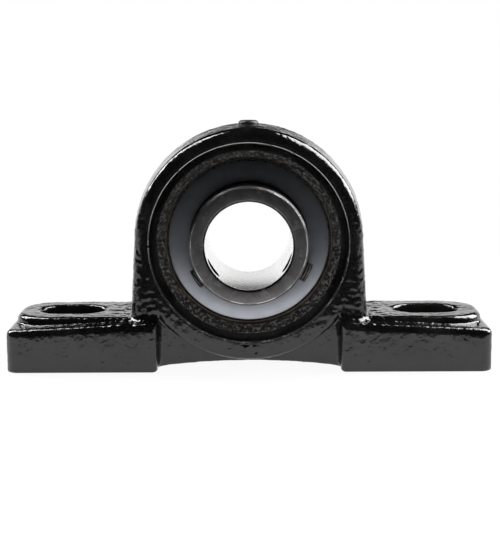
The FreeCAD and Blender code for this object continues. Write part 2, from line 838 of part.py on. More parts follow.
def cut_screw_hole(body, side):
    # The hole's axis is radial, so its plane is turned about the shaft axis
    name = "screw_hole_" + side
    sketch = new_sketch(body, name + "_outline", "XY_Plane")
    turn = "rotation(vector(0; 1; 0); 90 - Sizes.screw_angle_%s)" % side
    sketch.setExpression("AttachmentOffset", "placement(vector(0; 0; 0); %s)" % turn)
    draw_circle(sketch, "0", "screw_place", "screw_hole_radius")
    add_pocket(body, name, sketch, "inner_ring_diameter", along_normal=True)


# Balls

def make_ball(number):
    ball = document.addObject("Part::Sphere", "ball_%d" % number)
    ball.Label = "ball_%d" % number
    ball.setExpression("Radius", bound("ball_radius"))
    angle = "90 + %d * 360 / Sizes.ball_count" % (number - 1)
    form = "placement(vector(Worked.pitch_radius * cos(%s); 0; %s); rotation(0; 0; 0))"
    height = "Sizes.shaft_height + Worked.pitch_radius * sin(%s)" % angle
    ball.setExpression("Placement", form % (angle, height))
    return ball


# Ribbon cage: two pressed sheet rings with a pocket for each ball, riveted between them.
# Each half is modelled with the shaft axis as its own Z and lies on z >= 0.

def primitive(kind, name, **bindings):
    item = document.addObject(kind, name)
    for key, expression in bindings.items():
        item.setExpression(key, expression)
    return item


def around(item, number, radius, first, height="0"):
    # Places copy number of a pattern round the axis
    angle = "%s + %d * 360 / Sizes.ball_count" % (first, number)
    form = "placement(vector(%s * cos(%s); %s * sin(%s); %s); rotation(0; 0; 0))"
    item.setExpression("Placement", form % (radius, angle, radius, angle, height))


def fuse_of(name, items):
    fused = document.addObject("Part::MultiFuse", name)
    fused.Shapes = items
    return fused


def make_cage_half(label, turn):
    backs = [primitive("Part::Cylinder", label + "_sheet",
                       Radius="Worked.cage_outer", Height="Sizes.cage_sheet")]
    hollows = []
    for number in range(int(reading("ball_count"))):
        back = primitive("Part::Sphere", label + "_pocket_back", Radius="Worked.pocket_back")
        around(back, number, "Worked.pitch_radius", "90")
        backs.append(back)
        hollow = primitive("Part::Sphere", label + "_pocket", Radius="Worked.pocket_radius")
        around(hollow, number, "Worked.pitch_radius", "90")
        hollows.append(hollow)
        hole = primitive("Part::Cylinder", label + "_rivet_hole",
                         Radius="Worked.rivet_hole_radius", Height="2 * Worked.pocket_back")
        around(hole, number, "Worked.pitch_radius", "90 + Worked.rivet_angle", "-1 * Worked.pocket_back")
        hollows.append(hole)
    band = document.addObject("Part::Cut", label + "_band")
    band.Base = primitive("Part::Cylinder", label + "_outside",
                          Radius="Worked.cage_outer", Height="Worked.pocket_back")
    band.Tool = primitive("Part::Cylinder", label + "_inside",
                          Radius="Worked.cage_inner", Height="Worked.pocket_back")
    blank = document.addObject("Part::Common", label + "_blank")
    blank.Base = fuse_of(label + "_backs", backs)
    blank.Tool = band
    half = document.addObject("Part::Cut", label)
    half.Label = label
    half.Base = blank
    half.Tool = fuse_of(label + "_hollows", hollows)
    place(half, "0", "shaft_height", turn)
    return half


def make_rivets(turn):
    # One rivet between two balls, with a head on each half, repeated round the axis
    body = new_body("cage_rivets")
    body.AllowCompound = True
    sketch = new_sketch(body, "shank_outline", "XY_Plane")
    draw_circle(sketch, "rivet_first_x", "rivet_first_y", "rivet_radius")
    shank = add_pad(body, "shank", sketch, "rivet_grip", symmetric=True)
    sketch = new_sketch(body, "front_head_outline", "XY_Plane", "cage_sheet")
    draw_circle(sketch, "rivet_first_x", "rivet_first_y", "rivet_head_radius")
    front_head = add_pad(body, "front_head", sketch, "rivet_head_height")
    sketch = new_sketch(body, "rear_head_outline", "XY_Plane", "-rivet_top")
    draw_circle(sketch, "rivet_first_x", "rivet_first_y", "rivet_head_radius")
    rear_head = add_pad(body, "rear_head", sketch, "rivet_head_height")
    pattern = body.newObject("PartDesign::PolarPattern", "rivet_pattern")
    pattern.Originals = [shank, front_head, rear_head]
    pattern.Axis = (origin_feature(body, "Z_Axis"), [""])
    pattern.Angle = 360
    pattern.setExpression("Occurrences", bound("ball_count"))
    body.Tip = pattern
    place(body, "0", "shaft_height", turn)
    return body


# Seals and flingers. A leading minus puts a place on the front side.

def on_side(side, name):
    return "-" + name if side == "front" else name


def make_seal_plate(side):
    return make_turned_piece(side + "_seal_plate", [
        ("seal_plate_inner", on_side(side, "seal_inner")),
        ("seal_plate_outer", on_side(side, "seal_inner")),
        ("seal_plate_outer", on_side(side, "seal_outer")),
        ("seal_plate_inner", on_side(side, "seal_outer")),
    ])


def make_seal_lip(side):
    return make_turned_piece(side + "_seal_lip", [
        ("seal_plate_inner", on_side(side, "seal_inner")),
        ("seal_plate_inner", on_side(side, "seal_outer")),
        ("lip_neck", on_side(side, "seal_outer")),
        ("lip_radius", on_side(side, "lip_far")),
        ("lip_radius", on_side(side, "lip_near")),
        ("lip_neck", on_side(side, "seal_inner")),
    ])


def make_flinger(side):
    # A disc with its collar turned inwards, pressed on the inner ring
    outward = "-" if side == "front" else "+"
    travel = "ccw" if side == "front" else "cw"
    bend_place = on_side(side, "flinger_bend_place")
    return make_turned_piece(side + "_flinger", [
        ("flinger_bore", on_side(side, "flinger_collar_end")),
        ("-", bend_place),
        ("flinger_bend_radius", outward),
        ("flinger_edge", on_side(side, "flinger_outer")),
        ("flinger_edge", on_side(side, "flinger_inner")),
        ("flinger_collar_radius", on_side(side, "flinger_inner")),
        ("flinger_collar_radius", on_side(side, "flinger_collar_end")),
    ], {
        1: ("flinger_bend_radius", bend_place, "flinger_bend", travel),
    })


# Set screws, with a hexagon socket at the top and a cup point at the shaft

def make_set_screw(side):
    label = "set_screw_" + side
    body = new_body(label)
    sketch = new_sketch(body, label + "_outline", "XZ_Plane")
    draw_outline(sketch, [
        ("0", "screw_cup_depth"),
        ("screw_cup_radius", "0"),
        ("screw_rim_radius", "0"),
        ("screw_radius", "screw_chamfer"),
        ("screw_radius", "screw_shoulder"),
        ("screw_rim_radius", "screw_length"),
        ("0", "screw_length"),
    ])
    add_revolution(body, label + "_turned", sketch)
    sketch = new_sketch(body, label + "_socket_outline", "XY_Plane", "screw_length")
    draw_outline(sketch, [
        ("hex_corner", "0"),
        ("hex_half_side", "hex_half_width"),
        ("-hex_half_side", "hex_half_width"),
        ("-hex_corner", "0"),
        ("-hex_half_side", "-hex_half_width"),
        ("hex_half_side", "-hex_half_width"),
    ])
    add_pocket(body, label + "_socket", sketch, "screw_hex_depth")
    angle = bound("screw_angle_" + side)
    tip = bound("screw_tip_" + side)
    along = "%s * cos(%s); %s" % (tip, angle, bound("screw_place"))
    height = "%s + %s * sin(%s)" % (bound("shaft_height"), tip, angle)
    turn = "rotation(vector(0; 1; 0); 90 - %s)" % angle
    body.setExpression("Placement", "placement(vector(%s; %s); %s)" % (along, height, turn))
    settle()
    return body


# The whole assembly
turn_to_front = "rotation(vector(1; 0; 0); 90)"
turn_to_rear = "rotation(vector(0; 1; 1); 180)"
nodes = [make_housing(), make_grease_plug(), make_outer_ring(), make_inner_ring()]
nodes += [make_ball(number + 1) for number in range(int(reading("ball_count")))]
nodes += [make_cage_half("cage_front", turn_to_front), make_cage_half("cage_rear", turn_to_rear)]
nodes += [make_rivets(turn_to_front)]
for seal_side in ("front", "rear"):
    nodes += [make_seal_plate(seal_side), make_seal_lip(seal_side), make_flinger(seal_side)]
nodes += [make_set_screw("left"), make_set_screw("right")]

# Nothing is written unless every object was worked out and every piece is a valid solid
settle()
for node in nodes:
    if node.Shape.isNull() or not node.Shape.isValid() or not node.Shape.Solids:
        raise RuntimeError(node.Label + " has no valid solid")
os.makedirs("parts", exist_ok=True)
for node in nodes:
    node.Shape.exportStep("parts/%s.step" % node.Label)
    print(node.Label, len(node.Shape.Solids), round(node.Shape.Volume, 1))
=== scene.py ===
import math

import bmesh
import bpy
from mathutils import Matrix, Vector, noise


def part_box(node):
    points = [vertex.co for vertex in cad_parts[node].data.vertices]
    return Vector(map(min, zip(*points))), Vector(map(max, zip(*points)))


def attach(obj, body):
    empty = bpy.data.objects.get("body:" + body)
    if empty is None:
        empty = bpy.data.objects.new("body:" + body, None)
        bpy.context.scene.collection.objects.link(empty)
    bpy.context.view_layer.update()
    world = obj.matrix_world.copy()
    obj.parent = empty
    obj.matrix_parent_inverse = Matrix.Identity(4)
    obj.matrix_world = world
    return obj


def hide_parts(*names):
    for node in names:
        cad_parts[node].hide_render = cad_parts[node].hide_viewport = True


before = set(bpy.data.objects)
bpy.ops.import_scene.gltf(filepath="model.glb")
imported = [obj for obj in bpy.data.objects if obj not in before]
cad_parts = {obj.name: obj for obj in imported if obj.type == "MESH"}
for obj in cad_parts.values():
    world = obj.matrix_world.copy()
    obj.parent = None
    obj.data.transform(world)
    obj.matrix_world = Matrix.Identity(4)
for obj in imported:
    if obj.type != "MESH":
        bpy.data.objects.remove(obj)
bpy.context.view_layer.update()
print("frame loaded:", len(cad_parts), "nodes")

shaftHeight = 0.0365    # the shaft axis runs along Y at this height
axisPoint = Vector((0, 0, shaftHeight))
mergeDistance = 0.000001


# Small helpers for meshes. Turned outlines are given in millimetres, everything else in metres

def linkPiece(name, mesh):
    piece = bpy.data.objects.new(name, mesh)
    bpy.context.scene.collection.objects.link(piece)
    return piece


def pieceFrom(name, bm):
    mesh = bpy.data.meshes.new(name)
    bm.to_mesh(mesh)
    bm.free()
    return linkPiece(name, mesh)


def applyModifiers(piece):
    graph = bpy.context.evaluated_depsgraph_get()
    finished = bpy.data.meshes.new_from_object(piece.evaluated_get(graph))
    piece.modifiers.clear()
    piece.data = finished


def smoothShade(piece, degrees=30):
    piece.data.polygons.foreach_set("use_smooth", [True] * len(piece.data.polygons))
    piece.data.set_sharp_from_angle(angle=math.radians(degrees))


def cutAway(piece, cutter, solver="EXACT"):
    cut = piece.modifiers.new("cut", "BOOLEAN")
    cut.object = cutter
    cut.operation = "DIFFERENCE"
    cut.solver = solver
    applyModifiers(piece)
    bpy.data.objects.remove(cutter)


def addCylinder(bm, radius, length, segments, place):
    bmesh.ops.create_cone(bm, cap_ends=True, segments=segments, radius1=radius, radius2=radius,
                          depth=length, matrix=place)


def closeLoop(bm, corners):
    # Joins (radius, along) pairs to a closed outline beside the shaft axis
    verts = [bm.verts.new((radius / 1000, along / 1000, shaftHeight)) for radius, along in corners]
    for first, second in zip(verts, verts[1:] + verts[:1]):
        bm.edges.new((first, second))
    return verts


def joinChain(bm, verts):
    for first, second in zip(verts, verts[1:]):
        bm.edges.new((first, second))


def roundCorner(bm, vert, size, segments=3):
    bmesh.ops.bevel(bm, geom=[vert], offset=size / 1000, segments=segments, profile=0.5,
                    affect="VERTICES", material=-1)


def hollowEdge(bm, first, second, centre, steps=14):
    # The edge between two corners becomes an arc about the centre, as a raceway does
    bm.edges.remove(bm.edges.get((first, second)))
    middle = Vector((centre[0] / 1000, centre[1] / 1000, shaftHeight))
    turn = (first.co - middle).xy.angle_signed((second.co - middle).xy)
    made = bmesh.ops.spin(bm, geom=[first], cent=middle, axis=(0, 0, 1), angle=-turn, steps=steps)
    last = [item for item in made["geom_last"] if isinstance(item, bmesh.types.BMVert)][0]
    bmesh.ops.pointmerge(bm, verts=[last, second], merge_co=second.co)


def spinLoop(bm, steps):
    bmesh.ops.spin(bm, geom=bm.verts[:] + bm.edges[:], cent=axisPoint, axis=(0, 1, 0),
                   angle=math.tau, steps=steps, use_merge=True)
    bmesh.ops.recalc_face_normals(bm, faces=bm.faces)


# Node helpers and the effects that several finishes share

def addNode(tree, kind, **settings):
    node = tree.nodes.new(kind)
    for name, value in settings.items():
        setattr(node, name, value)
    return node


def feed(tree, socket, value):
    if isinstance(value, bpy.types.NodeSocket):
        tree.links.new(value, socket)
    else:
        socket.default_value = value


def maths(tree, operation, first, second=0.0):
    node = addNode(tree, "ShaderNodeMath", operation=operation)
    feed(tree, node.inputs[0], first)
    feed(tree, node.inputs[1], second)
    return node.outputs[0]


def multiply(tree, first, second):
    return maths(tree, "MULTIPLY", first, second)


def vectorMaths(tree, operation, first, second=(0, 0, 0)):
    node = addNode(tree, "ShaderNodeVectorMath", operation=operation)
    feed(tree, node.inputs[0], first)
    feed(tree, node.inputs[1], second)
    return node.outputs


def ramp(tree, value, low, high, start=0.0, end=1.0):
    node = addNode(tree, "ShaderNodeMapRange", interpolation_type="SMOOTHSTEP")
    feed(tree, node.inputs["Value"], value)
    for name, number in (("From Min", low), ("From Max", high), ("To Min", start), ("To Max", end)):
        feed(tree, node.inputs[name], number)
    return node.outputs["Result"]


def above(tree, value, place, soft):
    # A mask that rises from 0 to 1 round a place, over the soft width on each side of it
    return ramp(tree, value, place - soft, place + soft)


def below(tree, value, place, soft):
    return ramp(tree, value, place - soft, place + soft, 1.0, 0.0)


def blendColours(tree, share, first, second):
    node = addNode(tree, "ShaderNodeMix", data_type="RGBA")
    feed(tree, node.inputs["Factor"], share)
    feed(tree, node.inputs["A"], first)
    feed(tree, node.inputs["B"], second)
    return node.outputs["Result"]


def blendValues(tree, share, first, second):
    node = addNode(tree, "ShaderNodeMix", data_type="FLOAT")
    feed(tree, node.inputs["Factor"], share)
    feed(tree, node.inputs["A"], first)
    feed(tree, node.inputs["B"], second)
    return node.outputs["Result"]


middleRange = (0.3, 0.7)    # most of a noise's values lie between these


def noiseValue(tree, point, scale, detail=2.0, roughness=0.5):
    node = addNode(tree, "ShaderNodeTexNoise")
    feed(tree, node.inputs["Vector"], point)
    feed(tree, node.inputs["Scale"], scale)
    feed(tree, node.inputs["Detail"], detail)
    feed(tree, node.inputs["Roughness"], roughness)
    return node.outputs["Fac"]


def patches(tree, point, scale, detail, roughness, low, high):
    # Soft-edged patches: noise that begins to count at one level and is full at another
    return ramp(tree, noiseValue(tree, point, scale, detail, roughness), low, high)


def newGroup(name, inputs, outputs):
    group = bpy.data.node_groups.new(name, "ShaderNodeTree")
    for socketName, kind, value in inputs:
        socket = group.interface.new_socket(name=socketName, in_out="INPUT", socket_type=kind)
        if value is not None:
            socket.default_value = value
    for socketName in outputs:
        group.interface.new_socket(name=socketName, in_out="OUTPUT", socket_type="NodeSocketFloat")
    return group, addNode(group, "NodeGroupInput").outputs, addNode(group, "NodeGroupOutput").inputs


# What the shared effects don't take as an input; their noises end with detail and roughness
effectLook = {"roundShare": 1.5, "lineNoise": (1.0, 3.0, 0.6),
              "patchScale": 0.22, "patchDetail": 1.0, "markNoise": (5.0, 0.75), "evenShare": 0.5,
              "scuffSoft": 0.06, "lumpNoise": (1.5, 0.45), "fineScale": 2.7, "fineNoise": (2.0, 0.5)}


def makeShaftPlace():
    # Distance from the shaft axis, place along it and turn about it
    inputs = [("Point", "NodeSocketVector", None)]
    group, given, put = newGroup("shaftPlace", inputs, ["Radius", "Along", "Turn"])
    parts = addNode(group, "ShaderNodeSeparateXYZ")
    feed(group, parts.inputs[0], vectorMaths(group, "SUBTRACT", given["Point"], axisPoint)["Vector"])
    across = multiply(group, parts.outputs["X"], parts.outputs["X"])
    upward = multiply(group, parts.outputs["Z"], parts.outputs["Z"])
    feed(group, put["Radius"], maths(group, "SQRT", maths(group, "ADD", across, upward)))
    feed(group, put["Along"], parts.outputs["Y"])
    feed(group, put["Turn"], maths(group, "ARCTAN2", parts.outputs["Z"], parts.outputs["X"]))
    return group


def makeTurnedMarks():
    # Fine lines that run round the shaft, as a lathe or grinding wheel leaves them
    inputs = [("Radius", "NodeSocketFloat", 0.0), ("Along", "NodeSocketFloat", 0.0),
              ("Turn", "NodeSocketFloat", 0.0), ("Density", "NodeSocketFloat", 9000.0)]
    group, given, put = newGroup("turnedMarks", inputs, ["Height"])
    together = addNode(group, "ShaderNodeCombineXYZ")
    feed(group, together.inputs["X"], multiply(group, given["Radius"], given["Density"]))
    feed(group, together.inputs["Y"], multiply(group, given["Along"], given["Density"]))
    turned = multiply(group, maths(group, "SINE", given["Turn"]), effectLook["roundShare"])
    feed(group, together.inputs["Z"], turned)
    feed(group, put["Height"], noiseValue(group, together.outputs[0], *effectLook["lineNoise"]))
    return group


def makeScuffs():
    # Scattered handling marks: patches of short scratches and small chips
    inputs = [("Point", "NodeSocketVector", None), ("Size", "NodeSocketFloat", 600.0),
              ("Cover", "NodeSocketFloat", 0.6)]
    group, given, put = newGroup("scuffs", inputs, ["Mask"])
    look = effectLook
    wide = multiply(group, given["Size"], look["patchScale"])
    areas = noiseValue(group, given["Point"], wide, look["patchDetail"])
    marks = noiseValue(group, given["Point"], given["Size"], *look["markNoise"])
    both = maths(group, "ADD", multiply(group, areas, look["evenShare"]),
                 multiply(group, marks, look["evenShare"]))
    top = maths(group, "ADD", given["Cover"], look["scuffSoft"])
    feed(group, put["Mask"], ramp(group, both, given["Cover"], top))
    return group


def makeCastGrain():
    # The skin of a sand casting: rounded lumps with finer grit between them
    inputs = [("Point", "NodeSocketVector", None), ("Scale", "NodeSocketFloat", 700.0),
              ("Grit", "NodeSocketFloat", 0.3)]
    group, given, put = newGroup("castGrain", inputs, ["Height"])
    lumps = noiseValue(group, given["Point"], given["Scale"], *effectLook["lumpNoise"])
    finer = multiply(group, given["Scale"], effectLook["fineScale"])
    fine = noiseValue(group, given["Point"], finer, *effectLook["fineNoise"])
    feed(group, put["Height"], maths(group, "ADD", lumps, multiply(group, fine, given["Grit"])))
    return group


shaftPlace = makeShaftPlace()
turnedMarks = makeTurnedMarks()
scuffs = makeScuffs()
castGrain = makeCastGrain()


def useGroup(tree, group, **values):
    node = addNode(tree, "ShaderNodeGroup", node_tree=group)
    for name, value in values.items():
        feed(tree, node.inputs[name], value)
    return node.outputs


def turnedSurface(tree, point, density):
    # The distance from the shaft axis, and the height of the marks that turning leaves
    place = useGroup(tree, shaftPlace, Point=point)
    marks = useGroup(tree, turnedMarks, Radius=place["Radius"], Along=place["Along"],
                     Turn=place["Turn"], Density=density)
    return place["Radius"], marks["Height"]


def newFinish(name, ior=1.5, metallic=0.0):
    material = bpy.data.materials.new(name)
    material.use_nodes = True
    tree = material.node_tree
    shader = tree.nodes["Principled BSDF"].inputs
    shader["IOR"].default_value = ior
    shader["Metallic"].default_value = metallic
    return material, tree, shader, addNode(tree, "ShaderNodeTexCoord").outputs["Object"]


def addBump(tree, shader, height, depth, strength):
    bump = addNode(tree, "ShaderNodeBump")
    bump.inputs["Strength"].default_value = strength
    bump.inputs["Distance"].default_value = depth
    feed(tree, bump.inputs["Height"], height)
    feed(tree, shader["Normal"], bump.outputs["Normal"])


# Finishes. Places are distances from the shaft axis or depths along it. A pattern is given by
# its scale, detail, roughness and two levels, a bump by its depth and strength

paintLook = {"black": (0.0035, 0.0033, 0.0034, 1), "worn": (0.009, 0.0085, 0.008, 1), "ior": 1.6,
             "cloud": (90, 3.0, 0.5, 0.4, 0.75), "gloss": 0.06, "dull": 0.2,
             "dullPatches": (260, 2.0, 0.5, 0.35, 0.8),
             # the lip's edge is rubbed to the iron here and there
             "bareIron": (0.6, 0.6, 0.6, 1), "bareSpots": (330, 3.0, 0.5, 0.3, 0.45),
             "lipRadius": 0.0289, "lipDepth": 0.0144, "lipSoft": 0.00005,
             # the cast ledge beside the seat
             "ledgeFrom": 0.0238, "ledgeTo": 0.0264, "ledgeSoft": 0.0002, "ledgeDepth": 0.0122,
             "ledgeDepthSoft": 0.0001, "ledgeRoughness": 0.28, "ledgeBlack": (0.008, 0.0075, 0.007, 1),
             "ledgeGrain": (0.1, 0.096, 0.093, 1), "ledgeSpots": (1300, 2.0, 0.6, 0.47, 0.64),
             "lumps": {"Scale": 900.0, "Grit": 0.3}, "lumpShare": 0.5,
             "grit": {"Scale": 1300.0, "Grit": 0.6}, "gritShare": 2.4, "bump": (0.0002, 0.8)}


def makePaint():
    # Thick gloss black paint; the ledge beside the seat has only a thin, gritty coat
    look = paintLook
    material, tree, shader, point = newFinish("glossBlackPaint", ior=look["ior"])
    place = useGroup(tree, shaftPlace, Point=point)
    radius, depth = place["Radius"], maths(tree, "ABSOLUTE", place["Along"])
    onLedge = multiply(tree, above(tree, radius, look["ledgeFrom"], look["ledgeSoft"]),
                       below(tree, radius, look["ledgeTo"], look["ledgeSoft"]))
    onLedge = multiply(tree, onLedge, below(tree, depth, look["ledgeDepth"], look["ledgeDepthSoft"]))
    skin = blendColours(tree, patches(tree, point, *look["cloud"]), look["black"], look["worn"])
    spots = patches(tree, point, *look["ledgeSpots"])
    ledgeColour = blendColours(tree, spots, look["ledgeBlack"], look["ledgeGrain"])
    coloured = blendColours(tree, onLedge, skin, ledgeColour)
    onLip = multiply(tree, below(tree, radius, look["lipRadius"], look["lipSoft"]),
                     above(tree, depth, look["lipDepth"], look["lipSoft"]))
    bare = multiply(tree, onLip, patches(tree, point, *look["bareSpots"]))
    feed(tree, shader["Base Color"], blendColours(tree, bare, coloured, look["bareIron"]))
    feed(tree, shader["Metallic"], bare)
    dulled = blendValues(tree, patches(tree, point, *look["dullPatches"]), look["gloss"], look["dull"])
    feed(tree, shader["Roughness"], blendValues(tree, onLedge, dulled, look["ledgeRoughness"]))
    lumps = useGroup(tree, castGrain, Point=point, **look["lumps"])["Height"]
    grit = useGroup(tree, castGrain, Point=point, **look["grit"])["Height"]
    height = maths(tree, "ADD", multiply(tree, lumps, look["lumpShare"]),
                   multiply(tree, multiply(tree, grit, onLedge), look["gritShare"]))
    addBump(tree, shader, height, *look["bump"])
    return material


ringLook = {"oxide": (0.34, 0.326, 0.33, 1), "oxideDark": (0.25, 0.239, 0.242, 1),
            "cloud": (300, 4.0, 0.6, 0.35, 0.7), "roughness": (0.42, 0.5), "density": 9000.0,
            "side": (0.14, 0.135, 0.137, 1), "sideRadius": 0.016525, "sideSoft": 0.000075,
            "chamfer": (0.04, 0.038, 0.038, 1), "chamferRadius": 0.01305, "chamferSoft": 0.00005,
            "ground": (0.95, 0.945, 0.94, 1), "boreRadius": 0.01255, "boreSoft": 0.00003, "boreGloss": 0.22,
            "bright": (0.75, 0.74, 0.72, 1), "scuffs": {"Size": 900.0, "Cover": 0.56}, "scuffShare": 0.35,
            "edgeRadius": 0.01645, "edgeHalf": 0.000105, "edgeSoft": 0.000055,
            "edgeSpots": (260, 2.0, 0.5, 0.5, 0.58), "bump": (0.00002, 0.5)}


def makeRingSteel():
    # Ground bore, dark oxide outside, bare metal where the edges have rubbed
    look = ringLook
    material, tree, shader, point = newFinish("ringSteel", metallic=1.0)
    radius, marks = turnedSurface(tree, point, look["density"])
    oxide = blendColours(tree, patches(tree, point, *look["cloud"]), look["oxideDark"], look["oxide"])
    onSide = above(tree, radius, look["sideRadius"], look["sideSoft"])
    oxide = blendColours(tree, onSide, oxide, look["side"])
    pastChamfer = above(tree, radius, look["chamferRadius"], look["chamferSoft"])
    oxide = blendColours(tree, pastChamfer, look["chamfer"], oxide)
    rubbed = useGroup(tree, scuffs, Point=point, **look["scuffs"])["Mask"]
    fromEdge = maths(tree, "ABSOLUTE", maths(tree, "SUBTRACT", radius, look["edgeRadius"]))
    edge = multiply(tree, below(tree, fromEdge, look["edgeHalf"], look["edgeSoft"]),
                    patches(tree, point, *look["edgeSpots"]))
    bare = maths(tree, "MAXIMUM", multiply(tree, rubbed, look["scuffShare"]), edge)
    outside = blendColours(tree, bare, oxide, look["bright"])
    bore = below(tree, radius, look["boreRadius"], look["boreSoft"])
    feed(tree, shader["Base Color"], blendColours(tree, bore, outside, look["ground"]))
    rough = ramp(tree, marks, *middleRange, *look["roughness"])
    feed(tree, shader["Roughness"], maths(tree, "SUBTRACT", rough, multiply(tree, bore, look["boreGloss"])))
    addBump(tree, shader, marks, *look["bump"])
    return material


outerLook = {"straw": (0.7, 0.62, 0.5, 1), "strawDark": (0.5, 0.43, 0.32, 1),
             "film": (200, 3.0, 0.5, 0.35, 0.65), "roughness": (0.25, 0.4), "density": 8000.0,
             "bump": (0.00002, 0.4)}


def makeOuterSteel():
    # Ground outer ring with a thin film of preserving oil, which looks straw coloured
    look = outerLook
    material, tree, shader, point = newFinish("outerRingSteel", metallic=1.0)
    marks = turnedSurface(tree, point, look["density"])[1]
    film = patches(tree, point, *look["film"])
    feed(tree, shader["Base Color"], blendColours(tree, film, look["strawDark"], look["straw"]))
    feed(tree, shader["Roughness"], ramp(tree, marks, *middleRange, *look["roughness"]))
    addBump(tree, shader, marks, *look["bump"])
    return material


flingerLook = {"blue": (0.52, 0.54, 0.595, 1), "deep": (0.455, 0.475, 0.525, 1),
               "cloud": (160, 4.0, 0.6, 0.3, 0.7), "roughness": (0.31, 0.39), "density": 14000.0,
               "rubbed": (0.5, 0.5, 0.5, 1), "scuffs": {"Size": 1300.0, "Cover": 0.64}, "scuffShare": 0.4,
               "bump": (0.00001, 0.35)}


def makeFlingerSteel():
    # Satin blue-grey coated sheet with faint turned lines
    look = flingerLook
    material, tree, shader, point = newFinish("flingerSteel", metallic=1.0)
    marks = turnedSurface(tree, point, look["density"])[1]
    coating = blendColours(tree, patches(tree, point, *look["cloud"]), look["deep"], look["blue"])
    rubbed = useGroup(tree, scuffs, Point=point, **look["scuffs"])["Mask"]
    rubbed = multiply(tree, rubbed, look["scuffShare"])
    feed(tree, shader["Base Color"], blendColours(tree, rubbed, coating, look["rubbed"]))
    feed(tree, shader["Roughness"], ramp(tree, marks, *middleRange, *look["roughness"]))
    addBump(tree, shader, marks, *look["bump"])
    return material


ballLook = {"colour": (0.78, 0.78, 0.79, 1), "roughness": (0.05, 0.15), "grain": (4000, 3.0, 0.6)}
cageLook = {"colour": (0.56, 0.55, 0.53, 1), "roughness": (0.22, 0.32), "grain": (1800, 3.0, 0.6)}
brightLook = {"cloud": (240, 3.0, 0.5, 0.3, 0.7), "dimShare": 0.82, "bump": (0.00001, 0.3)}


def makeBrightSteel(name, look):
    # Polished or pressed steel, with cloudy tone and fine grain
    material, tree, shader, point = newFinish(name, metallic=1.0)
    cloud = patches(tree, point, *brightLook["cloud"])
    dimmer = tuple(part * brightLook["dimShare"] for part in look["colour"][:3]) + (1,)
    feed(tree, shader["Base Color"], blendColours(tree, cloud, dimmer, look["colour"]))
    fine = noiseValue(tree, point, *look["grain"])
    feed(tree, shader["Roughness"], ramp(tree, fine, *middleRange, *look["roughness"]))
    addBump(tree, shader, fine, *brightLook["bump"])
    return material


rubberLook = {"colour": (0.012, 0.012, 0.012, 1), "roughness": (0.55, 0.7),
              "grain": {"Scale": 2500.0, "Grit": 0.4}, "bump": (0.00003, 0.5)}
plasticLook = {"colour": (0.008, 0.0075, 0.007, 1), "roughness": (0.32, 0.47),
               "grain": {"Scale": 1200.0, "Grit": 0.4}, "bump": (0.00004, 0.5)}
softLook = {"cloud": (180, 3.0, 0.5, 0.35, 0.75), "lightShare": 1.7, "grainRange": (0.4, 0.9)}


def makeSoftBlack(name, look):
    # Rubber and moulded plastic: even black with a fine moulded grain
    material, tree, shader, point = newFinish(name)
    cloud = patches(tree, point, *softLook["cloud"])
    lighter = tuple(part * softLook["lightShare"] for part in look["colour"][:3]) + (1,)
    feed(tree, shader["Base Color"], blendColours(tree, cloud, look["colour"], lighter))
    grain = useGroup(tree, castGrain, Point=point, **look["grain"])["Height"]
    feed(tree, shader["Roughness"], ramp(tree, grain, *softLook["grainRange"], *look["roughness"]))
    addBump(tree, shader, grain, *look["bump"])
    return material


paint = makePaint()
ringSteel = makeRingSteel()
outerSteel = makeOuterSteel()
flingerSteel = makeFlingerSteel()
ballSteel = makeBrightSteel("ballSteel", ballLook)
cageSteel = makeBrightSteel("cageSteel", cageLook)
rubber = makeSoftBlack("sealRubber", rubberLook)
plastic = makeSoftBlack("plugPlastic", plasticLook)
print("finishes made")


# Grease plug sizes in millimetres, used by the casting's port too
plugShape = {"seat": 70, "bed": 3.15, "bedHeight": 10, "head": 2.95, "headTop": 2.35,
             "headHeight": 1, "headEdge": 0.4, "headRound": 0.25, "shank": 2.4, "shankLength": 5,
             "socket": 1.4, "socketDepth": 0.8, "steps": 64}

# Housing: the casting's outside gets the uneven skin of a sand casting under thick paint

castingLook = {"voxel": 0.0004, "keptFaces": 0.36, "swellSize": 0.006, "swellDepth": 0.00008,
               "lumpSize": 0.0013, "lumpDepth": 0.00006, "roughLump": 0.00018, "lumpNoise": (1.0, 2.0, 2),
               # the skin starts above the base and outside the turned seat and the port
               "baseFade": (0.0001, 0.0009), "seatDepth": 0.0156, "seatFade": (0.0292, 0.0312),
               "portHeight": 0.068, "portFade": (0.0032, 0.0042),
               # the coarse kind lies on the web and the lower arch
               "coarseReach": (0.0285, 0.0305), "coarseTop": (0.056, 0.03),
               "coarseBottom": (0.0105, 0.0145), "coarseSide": (0.044, 0.034),
               # at the outermost faces it only goes inwards
               "flatEnd": 0.0695, "flatSide": 0.0185, "flatFade": 0.0004, "swellDrop": 0.5}


def between(value, low, high):
    share = min(1, max(0, (value - low) / (high - low)))
    return share * share * (3 - 2 * share)


def skinShares(point):
    # How much of the casting's unevenness a point gets, and how much of the coarse kind
    look = castingLook
    reach = math.hypot(point.x, point.z - shaftHeight)
    cast = between(point.z, *look["baseFade"])
    if abs(point.y) < look["seatDepth"]:
        cast *= between(reach, *look["seatFade"])
    if point.z > look["portHeight"]:
        cast *= between(math.hypot(point.x, point.y), *look["portFade"])
    coarse = between(reach, *look["coarseReach"]) * between(point.z, *look["coarseTop"])
    coarse *= between(point.z, *look["coarseBottom"])
    coarse *= between(abs(point.x), *look["coarseSide"])
    return cast, coarse


